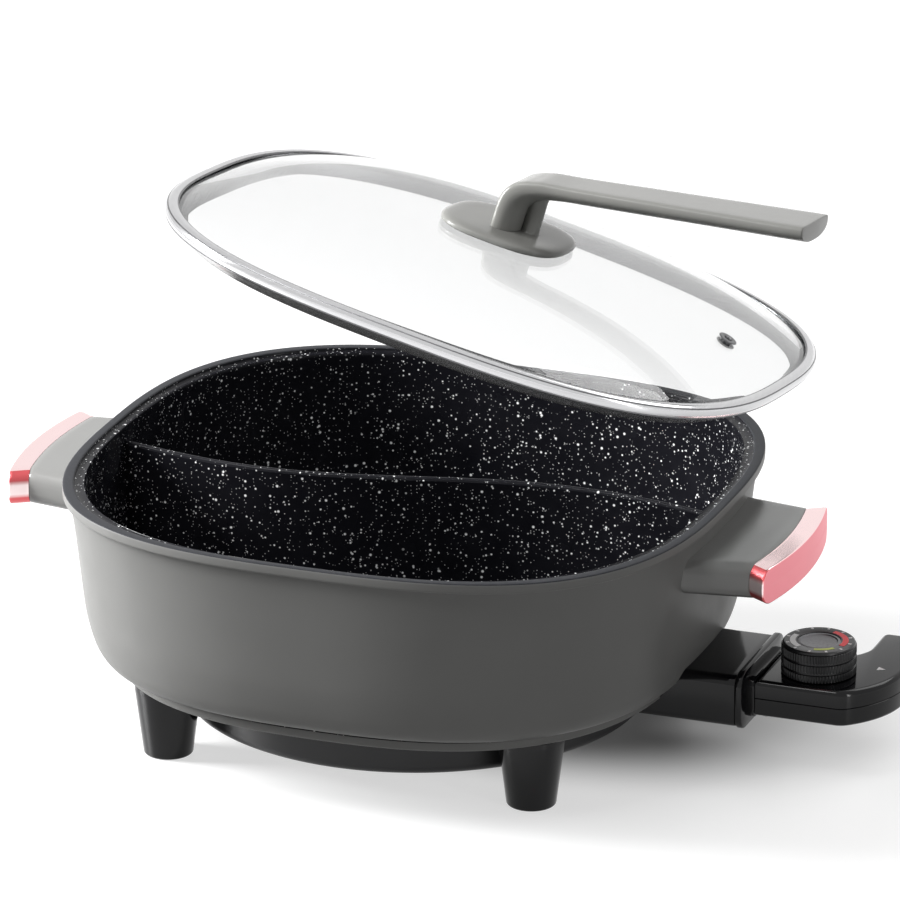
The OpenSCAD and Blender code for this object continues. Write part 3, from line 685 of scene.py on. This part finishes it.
for side, sign in (("right", 1), ("left", -1)):
    flip = Matrix.Diagonal((sign, 1, 1, 1)) @ Matrix.Scale(MM, 4)
    slab = skin(f"grip_slab_{side}", grip_rings())
    slab.data.transform(flip)
    settle(slab, "pot", [f"grip_{side}"], "grip")
    cap = skin(f"grip_end_{side}", cap_rings(), crisp=40)
    cap.data.transform(flip)
    for key in ("rose", "rose_satin", "rose_painted_reflection"):
        cap.data.materials.append(FINISH[key])
    if sign < 0:  # a mirrored mesh looks inwards, so it is turned before its faces are sorted
        for piece in (slab, cap):
            piece.data.flip_normals()
    # Outer faces take the satin rose, the narrow ends the plating with painted reflection bands, the rest the
    # plain plating.
    for face in cap.data.polygons:
        if face.normal.x * sign > 0.8:
            face.material_index = 1
        elif abs(face.normal.y) > 0.35:
            face.material_index = 2
    settle(cap, "pot", [f"grip_cap_{side}"])

# %% [markdown]
# ## The lid
# The dome is tempered glass with a nearly flat crown and a steep edge, bound by a rolled steel rim whose
# skirt drops into the pot. The same outline is used at every height, drawn in by what each ring needs.

# %% Lid outline
LID_GAP = 6.8 * MM
LID_A, LID_B = RIM_A - LID_GAP, RIM_B - LID_GAP
DOME_H, GLASS_T, GLASS_LOW = 29, 4, 1.1
DOME_EDGE, DOME_FLATNESS = 5.2, 3.2


def lid_ring(inset, z):
    return oval(LID_A - inset * MM, LID_B - inset * MM, SQUARENESS, z * MM, RING_POINTS)


def dome_z(share):
    return GLASS_LOW + (DOME_H - GLASS_T - GLASS_LOW) * (1 - share ** DOME_FLATNESS)


def dome_ring(share, lift):
    share = max(share, 0.002)
    return oval((LID_A - DOME_EDGE * MM) * share, (LID_B - DOME_EDGE * MM) * share, SQUARENESS,
                (dome_z(share) + lift) * MM, RING_POINTS)

# %% Glass and rim
shares = [k / 40 for k in range(41)]
glass_rings = [dome_ring(s, 0) for s in shares]
glass_rings += [lid_ring(1.2, GLASS_LOW), lid_ring(1.2, GLASS_LOW + GLASS_T)]
glass_rings += [dome_ring(s, GLASS_T) for s in reversed(shares)]
settle(skin("glass_dome", glass_rings, crisp=50), "lid", ["lid_glass"], "glass", LID_POSE)

outside = [(0.9, 0.5)] + corner((2.9, 3.3), 2.9, 225, 180, 4)
crown = corner((3.2, 4), 3.2, 180, 150, 4) + [(0.7, 5.6), (0.95, 6.15)]
crown += corner((3.3, 4.1), 3.0, 130, 92, 6)
edge = [(5.2, 7.1), (6.1, 6.75), (6.0, 6.2)]
channel = [(3.6, 6.2), (0.95, 5.4), (0.95, 0.85), (5.4, 0.85)]
skirt = [(8.6, -2.2), (11.9, -6.0), (11.6, -6.3), (11.1, -6.2), (7.8, -3.0), (4.6, 0.0), (2.2, 0.1)]
rim_section = outside + crown + edge + channel + skirt
steel_rim = skin("steel_rim", [lid_ring(i, z) for i, z in rim_section], loop=True, crisp=40)
for key in ("steel", "steel_painted_shade", "skirt"):
    steel_rim.data.materials.append(FINISH[key])
in_crown, after_crown = len(outside) + 4, len(outside) + len(crown)
skirt_start = len(rim_section) - len(skirt)
# Painted shade: the outer lower edge, the crease in the crown, the inner edge and the turn into the skirt
# take the darker steel.
painted_shade_rings = {0, in_crown, in_crown + 1, after_crown, after_crown + 1, skirt_start - 1, skirt_start}
for face in steel_rim.data.polygons:
    ring = face.index // RING_POINTS
    face.material_index = 1 if ring in painted_shade_rings else 2 if ring > skirt_start else 0
settle(steel_rim, "lid", ["lid_rim"], pose=LID_POSE)

# %% [markdown]
# A steam vent is a small eyelet, crimped through the glass from both sides. It leans with the dome.

# %% Steam vent
VENT_X, VENT_POINTS = 125, 48
vent_share = VENT_X * MM / (LID_A - DOME_EDGE * MM)
fall = (dome_z(vent_share - 0.02) - dome_z(vent_share + 0.02)) * MM / (0.04 * (LID_A - DOME_EDGE * MM))
vent_profile = [(1.9, -1.0), (2.4, -1.25), (4.4, -1.2), (5.1, -0.8), (4.4, -0.25), (2.7, -0.1),
                (2.7, 4.1), (4.4, 4.25), (5.1, 4.6), (4.8, 5.0), (3.2, 5.25), (2.2, 4.9), (1.9, 4.2)]
vent_rings = []
for r, z in vent_profile:
    turns = [math.tau * i / VENT_POINTS for i in range(VENT_POINTS)]
    vent_rings.append([(r * MM * math.cos(t), r * MM * math.sin(t), z * MM) for t in turns])
vent = skin("crimped_vent", vent_rings, loop=True)
lean = Matrix.Rotation(math.atan(fall), 4, "Y")
lean = Matrix.Translation((VENT_X * MM, 0, dome_z(vent_share) * MM)) @ lean
# The whole eyelet takes the darker steel, a painted shade.
settle(vent, "lid", ["lid_vent"], "steel_painted_shade", LID_POSE @ lean)

# %% [markdown]
# ## The lid's handle
# A rounded square plate sits on the crown. From it a strap rises, bends over in one sweep and runs outwards,
# with a flat top and a bellied underside, and a round post stands in the bend. The strap is made of
# sections: at each step, one point on its outer line and one on its inner line.

# %% Handle plate
PLATE_TOP = DOME_H + 5.2
PLATE_HALF, PLATE_POINTS = 33.5, 120
plate_section = [(12, 30), (0.6, 30), (0.1, 30.4), (0, 31), (0, 32), (0.35, 32.6), (1.2, 33.2),
                 (2.5, 33.65), (4, 33.95), (6.5, 34.12), (9, 34.18), (17, PLATE_TOP), (24, PLATE_TOP),
                 (31, PLATE_TOP)]
plate_rings = [oval((PLATE_HALF - i) * MM, (PLATE_HALF - i) * MM, SQUARENESS, z * MM, PLATE_POINTS)
               for i, z in plate_section]
plate = skin("handle_plate", plate_rings, crisp=40)
settle(plate, "lid", ["lid_handle_base"], "handle", LID_POSE)

# %% Handle strap
outer_line = [(-5.8, 34.3), (-5.9, 38), (-5.9, 42.3), (-5.7, 47.3), (-5, 51.7), (-3.4, 55.5),
              (-0.4, 59), (4.4, 61.6), (9, 63.1), (13.7, 64.4), (24.2, 66.2), (34.7, 68.2),
              (60, 73.3), (90, 79.3), (120, 85.3), (150.6, 91.4)]
inner_line = [(7, 34.3), (7.05, 38), (7.2, 42.3), (7.9, 47), (10, 50.1), (13.2, 52.5),
              (17.2, 54.2), (21, 55.3), (24.3, 56.1), (27.5, 56.9), (32, 57.9), (38, 59.0),
              (62, 63.8), (92, 69.8), (122, 75.8), (152.6, 81.9)]


def strap_ring(outer, inner, half_width):
    """One section: a flat top with softened edges, and a belly below."""
    ox, oz = outer
    dx, dz = inner[0] - ox, inner[1] - oz
    turns = [math.radians(a) for a in range(15, 91, 15)]
    left = [(-0.86 - 0.14 * math.sin(t), 0.2 * (1 - math.cos(t))) for t in turns]
    belly = [(math.cos(math.radians(a)) ** 0.85, 0.3 + 0.7 * math.sin(math.radians(a)) ** 0.9)
             for a in range(0, 90, 10)]
    flat = [(t / 6, 0) for t in (-4.6, -3, -1.5, 0, 1.5, 3, 4.6)]
    shape = left[::-1] + flat + [(-u, d) for u, d in left]
    shape += belly + [(0, 1)] + [(-u, d) for u, d in belly[::-1]]
    return [((ox + dx * d) * MM, u * half_width * MM, (oz + dz * d) * MM) for u, d in shape]


def strap_half_width(x):
    """Half the strap's width: 17 mm at its bend, 22.8 mm from 127 mm further out."""
    return 17 + 5.8 * min(max((x - 15) / 127, 0), 1)


outer_points, inner_points = smooth_row(outer_line, 3), smooth_row(inner_line, 3)
strap_rings = [strap_ring(o, i, strap_half_width(o[0])) for o, i in zip(outer_points, inner_points)]
end_o, end_i = outer_points[-1], inner_points[-1]
end_mid = ((end_o[0] + end_i[0]) / 2, (end_o[1] + end_i[1]) / 2)


def past_end(point, shrink, step):
    """A point of the strap's last section, drawn in and moved on, to round the end."""
    return (end_mid[0] + (point[0] - end_mid[0]) * shrink + 1.1 * step,
            end_mid[1] + (point[1] - end_mid[1]) * shrink + 0.22 * step)


for step, shrink in ((0.8, 0.998), (0.97, 0.98), (1.0, 0.95)):
    half_width = strap_half_width(end_o[0]) * (1 - (1 - shrink) * 0.4)
    strap_rings.append(strap_ring(past_end(end_o, shrink, step), past_end(end_i, shrink, step), half_width))
strap = skin("handle_strap", strap_rings, crisp=50)
settle(strap, "lid", ["lid_handle_arm"], "handle", LID_POSE)

post_profile = scaled([(0, PLATE_TOP - 1), (5.2, PLATE_TOP - 1), (5.2, PLATE_TOP), (4.8, PLATE_TOP + 0.5),
                       (4.6, PLATE_TOP + 1.4), (4.6, PLATE_TOP + 17), (4.9, PLATE_TOP + 19),
                       (0, PLATE_TOP + 19)])
post = turned("handle_post", post_profile, (11.2 * MM, 0), 48)
settle(post, "lid", finish="handle", pose=LID_POSE)

# %% [markdown]
# ## Socket and controller
# The socket's shroud is a box with soft corners that grows out of the pot's foot. A thin collar closes it,
# and behind the collar sits the controller: a flat case that turns a corner towards the back, with the
# temperature knob on top.

# %% Boxes along X
BOX_STEPS = 6


def tube_ring(x, half_width, low, high, radius):
    return [(x * MM, y * MM, z * MM) for y, z in slab_section(half_width, low, high, radius, BOX_STEPS)]


shroud_low, shroud_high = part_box("socket_shroud")
SH_HALF, SH_LOW, SH_HIGH = shroud_high[1] / MM, shroud_low[2] / MM, shroud_high[2] / MM
SH_START, SH_END, SH_BACK = 122, shroud_high[0] / MM, 161


def behind_wall(z):
    """Where the shroud starts: under the floor for its lower part, and inside the pot's wall above."""
    if z < base - 0.5:
        return SH_START
    return RIM_A / MM - wall_inset(max(z, base + 5.3)) - 2.5


shroud_rings = []
for k in range(9):
    share = k / 8
    shroud_rings.append([((behind_wall(z) + share * (SH_END - 0.6 - behind_wall(z))) * MM, y * MM, z * MM)
                         for y, z in slab_section(SH_HALF, SH_LOW, SH_HIGH, 5, BOX_STEPS)])
shroud_rings += [tube_ring(SH_END - 0.2, SH_HALF - 0.2, SH_LOW + 0.2, SH_HIGH - 0.2, 4.8),
                 tube_ring(SH_END, SH_HALF - 0.7, SH_LOW + 0.7, SH_HIGH - 0.7, 4.3),
                 tube_ring(SH_END, SH_HALF - 4.6, SH_LOW + 1.6, SH_HIGH - 2.1, 1.6),
                 tube_ring(SH_END - 0.4, SH_HALF - 5, SH_LOW + 1.8, SH_HIGH - 2.5, 1.2),
                 tube_ring(SH_BACK, SH_HALF - 5, SH_LOW + 1.8, SH_HIGH - 2.5, 1.2)]
shroud = skin("shroud_shell", shroud_rings, last_cap=False)
settle(shroud, "pot", ["socket_shroud"], "gloss")

# %% Collar
collar_low, collar_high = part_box("controller_collar")
CO_HALF, CO_LOW, CO_HIGH = collar_high[1] / MM, collar_low[2] / MM, collar_high[2] / MM
CO_START, CO_END = SH_END + 0.3, collar_high[0] / MM
NOSE_X, NOSE = 168, (26.3, SH_LOW + 3.1, SH_HIGH - 3.8, 2)
collar_rings = [tube_ring(NOSE_X, *NOSE), tube_ring(CO_START, *NOSE)]
for x, inset in ((0, 1.0), (0.2, 0.35), (0.7, 0), (2.9, 0), (3.5, 0.35), (3.8, 1.1)):
    collar_rings.append(tube_ring(CO_START + x, CO_HALF - inset, CO_LOW + inset, CO_HIGH - inset, 8 - inset))
NECK, NECK_END = (25.5, 30.5, 52.5, 5), (25.0, 31.0, 52.0, 5)
for x, size in ((3.8, NECK), (CO_END - CO_START - 0.4, NECK), (CO_END - CO_START, NECK_END)):
    collar_rings.append(tube_ring(CO_START + x, *size))
settle(skin("collar_plate", collar_rings), "controller", ["controller_collar"], "gloss")

# %% [markdown]
# The case's outline runs straight along the front, turns on a large curve and ends in the tail where the
# cord would leave. Its rings are the outline drawn in along its own corners, so that the top edge can be
# rounded all the way round.

# %% Case outline
case_low, case_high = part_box("controller_lower_case")[0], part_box("controller_upper_case")[1]
CASE_X, CASE_HALF = case_low[0] / MM, -case_low[1] / MM
CASE_LOW, CASE_HIGH = case_low[2] / MM, case_high[2] / MM
CASE_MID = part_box("controller_lower_case")[1][2] / MM
TAIL_X = (case_high[0] / MM - 26, case_high[0] / MM)
TAIL_Y = case_high[1] / MM


def case_outline():
    big_r, small_r = 50, 10
    big = (TAIL_X[1] - big_r, 17)
    rise = big[1] + CASE_HALF - small_r
    small = (big[0] + math.sqrt((big_r - small_r) ** 2 - rise ** 2), small_r - CASE_HALF)
    turn = -math.degrees(math.atan2(rise, small[0] - big[0]))
    points = [(CASE_X, -CASE_HALF), (CASE_X + 14, -CASE_HALF), (CASE_X + 28, -CASE_HALF)]
    points += corner(small, small_r, -90, turn, 6)
    points += corner(big, big_r, turn + 3, 0, 16) + corner((TAIL_X[1] - 4, TAIL_Y - 4), 4, 0, 90)
    points += corner((TAIL_X[0] + 4, TAIL_Y - 4), 4, 90, 180)
    points += corner((TAIL_X[0] - 18, CASE_HALF + 18), 18, 0, -90, 12)
    return points + [(CASE_X, CASE_HALF)]


def drawn_in(points, inset, z):
    ring = []
    for i, here in enumerate(points):
        before, after = Vector(points[i - 1]), Vector(points[(i + 1) % len(points)])
        here = Vector(here)
        way = (here - before).normalized() + (after - here).normalized()
        move = Vector((-way.y, way.x)) * (2 * inset / way.length_squared)
        ring.append(((here.x + move.x) * MM, (here.y + move.y) * MM, z * MM))
    return ring


outline = case_outline()
UNDER_EDGE, TOP_EDGE = 2, 3
SEAM = ((0, 0.3), (0.25, 0.1), (1.5, 0.1))
lower = [drawn_in(outline, UNDER_EDGE * (1 - math.sin(math.radians(a))),
                  CASE_LOW + UNDER_EDGE * (1 - math.cos(math.radians(a)))) for a in (0, 20, 40, 60, 75, 90)]
lower += [drawn_in(outline, inset, CASE_MID - gap) for inset, gap in SEAM]
settle(skin("case_bottom", lower), "controller", ["controller_lower_case"], "gloss")
upper = [drawn_in(outline, inset, CASE_MID + gap) for inset, gap in reversed(SEAM)]
upper += [drawn_in(outline, TOP_EDGE * (1 - math.cos(math.radians(a))),
                   CASE_HIGH - TOP_EDGE * (1 - math.sin(math.radians(a)))) for a in range(0, 91, 15)]
settle(skin("case_top", upper), "controller", ["controller_upper_case"], "gloss")

# %% Pointer mark
POINTER = ((245.2, 11.2), (249.2, 13.4), (245.2, 15.6))
INK_HEIGHT = 0.00008
pointer_points = [(x * MM, y * MM, CASE_HIGH * MM + z) for z in (0, INK_HEIGHT) for x, y in POINTER]
pointer = piece_from("pointer_mark", pointer_points,
                     [(0, 2, 1), (3, 4, 5), (0, 1, 4, 3), (1, 2, 5, 4), (2, 0, 3, 5)])
settle(pointer, "controller", finish="white")

# %% [markdown]
# ## The knob
# The knob's side has three bands of fine ribs with grooves between them. A ring of ticks and three coloured
# arcs are printed on top, round a shallow metal centre.

# %% Knob body
knob_low, knob_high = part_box("knob")
KNOB_X = (knob_low[0] + knob_high[0]) / 2 / MM
KNOB_R = (knob_high[0] - knob_low[0]) / 2 / MM
KNOB_LOW, KNOB_HIGH = knob_low[2] / MM, knob_high[2] / MM
RIBS, RIB_DEPTH = 72, 0.45


def knob_ring(radius, z, depth=0.0):
    ring = []
    for i in range(RIBS * 4):
        t = math.tau * i / (RIBS * 4)
        r = radius - (depth if i % 4 in (2, 3) else 0)
        ring.append(((KNOB_X + r * math.cos(t)) * MM, r * math.sin(t) * MM, z * MM))
    return ring


def band(low, high):
    """One band of ribs, which fade out at its two rounded edges."""
    return [knob_ring(KNOB_R - 0.9, low), knob_ring(KNOB_R - 0.1, low + 0.3, RIB_DEPTH * 0.6),
            knob_ring(KNOB_R, low + 0.6, RIB_DEPTH), knob_ring(KNOB_R, high - 0.6, RIB_DEPTH),
            knob_ring(KNOB_R - 0.1, high - 0.3, RIB_DEPTH * 0.6), knob_ring(KNOB_R - 0.9, high)]


knob_rings = [knob_ring(KNOB_R - 2, KNOB_LOW)] + band(KNOB_LOW, KNOB_LOW + 4.2)
knob_rings += band(KNOB_LOW + 5, KNOB_LOW + 9.4) + band(KNOB_LOW + 10.2, KNOB_HIGH - 1.6)
knob_rings += [knob_ring(KNOB_R - 0.5, KNOB_HIGH - 1.4), knob_ring(KNOB_R - 0.8, KNOB_HIGH - 0.5),
               knob_ring(KNOB_R - 1.5, KNOB_HIGH), knob_ring(11.6, KNOB_HIGH),
               knob_ring(11.2, KNOB_HIGH - 0.2), knob_ring(11.2, KNOB_HIGH - 1)]
settle(skin("ribbed_knob", knob_rings, crisp=30), "knob", ["knob"], "knob")

# %% Dial centre and print
dial_steps = ((0, 1.2), (11.15, 1.2), (11.15, 0.5), (10.7, 0.3), (9.6, 0.3), (9.2, 0.8), (8.8, 0.9), (0, 0.8))
dial_profile = scaled([(r, KNOB_HIGH - depth) for r, depth in dial_steps])
dial = turned("dial_centre", dial_profile, (KNOB_X * MM, 0))
settle(dial, "knob", ["knob_dial"], "dial")


def printed_arc(name, inner, outer, start, end, finish):
    """A thin flat ring sector on the knob's top."""
    steps = max(2, int(abs(end - start) / 3))
    rings = []
    for k in range(steps + 1):
        t = math.radians(start + (end - start) * k / steps)
        rings.append([((KNOB_X + r * math.cos(t)) * MM, r * math.sin(t) * MM, (KNOB_HIGH + h) * MM)
                      for r, h in ((inner, 0), (outer, 0), (outer, 0.07), (inner, 0.07))])
    settle(skin(name, rings), "knob", finish=finish)


TICK_HALF = 2.2
printed_arc("arc_warm", 12.0, 14.9, 165, 238, "white")
printed_arc("arc_simmer", 12.0, 14.2, 276, 322, "green")
printed_arc("arc_boil", 12.0, 15.0, -17, 74, "red")
for index, angle in enumerate(range(0, 360, 30)):
    printed_arc(f"tick_{index + 1}", 15.4, 17.2, angle - TICK_HALF, angle + TICK_HALF, "white")

# %% [markdown]
# ## Pieces that stay as they are
# Screws, clips, pins and the parts inside the controller are turned or flat pieces that are right as built.
# They only take their metal.

# %% Finishes of the carried-over pieces
CARRIED = {
    "plain_steel": ("heating_element", "element_clips", "terminal_pins", "probe_channel", "cover_screws",
                    "foot_screws", "shroud_screws", "grip_bolts", "lid_washer", "lid_screw", "case_screws",
                    "probe_rod", "thermostat_frame", "knob_spindle"),
    "ceramic": ("terminal_block",), "rubber": ("lid_handle_seal", "cord_gland"),
    "brass": ("contact_sleeves", "contact_blades"), "copper": ("bimetal_strip",),
}
for key, names in CARRIED.items():
    for name in names:
        mesh = frame["nodes"][name].data
        mesh.materials.clear()
        mesh.materials.append(FINISH[key])
print("carried over:", sum(len(names) for names in CARRIED.values()))

# %% [markdown]
# ## Floor, world and lamps
# The object stands on plain white in soft light that comes mostly from the left, so that the left of the
# wall is bright and the right falls into shade. Light that bounced up from a white floor would fill that
# shade again. The floor is therefore pale, with a little light of its own, only for rays that the camera
# sees, straight or through glass or in a reflection, and darker for the light that it throws back. Its
# own light is weak close to the pot, where the shadow lies, and grows away from it until it is white.

# %% Floor
FLOOR_SEEN, FLOOR_LIT = 0.42, 0.14
GLOW_SHIFT, GLOW_SQUEEZE = (-0.24, -0.28, 0), (4.0, 7.0, 1)
# Where each part of the glow starts and ends, in squeezed distance, and how strong it is there.
GLOW_NEAR, GLOW_FAR = (0.38, 0.88, 0.04, 0.62), (7, 18, 0.0, 0.38)

bpy.ops.mesh.primitive_plane_add(size=40, location=(0, 0, 0))
ground = bpy.context.object
ground.name = "ground"
ground_finish = bpy.data.materials.new("ground_white")
ground_finish.use_nodes = True
tree = ground_finish.node_tree
matte = tree.nodes["Principled BSDF"]
matte.inputs["Roughness"].default_value = 0.35
matte.inputs["Emission Color"].default_value = (1, 1, 1, 1)
seen = any_ray(tree, "Camera", "Transmission", "Glossy")
tree.links.new(mapped(tree, seen, 0, 1, FLOOR_LIT, FLOOR_SEEN), matte.inputs["Base Color"])
squeeze = tree.nodes.new("ShaderNodeMapping")
squeeze.inputs["Location"].default_value = GLOW_SHIFT
squeeze.inputs["Scale"].default_value = GLOW_SQUEEZE
place = tree.nodes.new("ShaderNodeTexCoord")
tree.links.new(place.outputs["Object"], squeeze.inputs["Vector"])
reach = tree.nodes.new("ShaderNodeVectorMath")
reach.operation = "LENGTH"
tree.links.new(squeeze.outputs["Vector"], reach.inputs[0])
near, far = [mapped(tree, reach.outputs["Value"], *part, way="SMOOTHSTEP") for part in (GLOW_NEAR, GLOW_FAR)]
glow = joined(tree, "MULTIPLY", seen, joined(tree, "ADD", near, far))
tree.links.new(glow, matte.inputs["Emission Strength"])
ground.data.materials.append(ground_finish)

# %% World
WORLD_SEEN, WORLD_LIT = 1.0, 0.07

world = bpy.data.worlds.new("studio")
bpy.context.scene.world = world
world.use_nodes = True
sky = world.node_tree
back = sky.nodes["Background"]
back.inputs["Color"].default_value = (1, 1, 1, 1)
shown = any_ray(sky, "Camera", "Glossy", "Transmission")
sky.links.new(mapped(sky, shown, 0, 1, WORLD_LIT, WORLD_SEEN), back.inputs["Strength"])

# %% Lamps
LAMP_AIM = Vector((0, 0, 0.1))


def soft_lamp(name, azimuth, elevation, distance, size, power):
    """A soft box turned to the pot: angles in degrees, distance and size in metres, power in watts."""
    data = bpy.data.lights.new(name, "AREA")
    data.shape = "RECTANGLE"
    data.size, data.size_y = size
    data.energy = power
    lamp = bpy.data.objects.new(name, data)
    bpy.context.scene.collection.objects.link(lamp)
    away = direction(math.radians(azimuth), math.radians(elevation))
    lamp.location = LAMP_AIM + away * distance
    lamp.rotation_euler = (-away).to_track_quat("-Z", "Y").to_euler()


soft_lamp("key_left", -77, 24, 1.6, (0.5, 0.8), 66)
soft_lamp("back_right", 140, 48, 1.8, (1.0, 0.8), 9)
soft_lamp("front_high", -43, 61, 1.7, (1.0, 0.45), 14)
soft_lamp("right_strip", 62, 12, 1.8, (0.15, 1.0), 5)

# %% [markdown]
# ## Colour and closing
# The picture is shown as it is computed, with no film look.

# %% Closing
bpy.context.scene.view_settings.view_transform = "Standard"
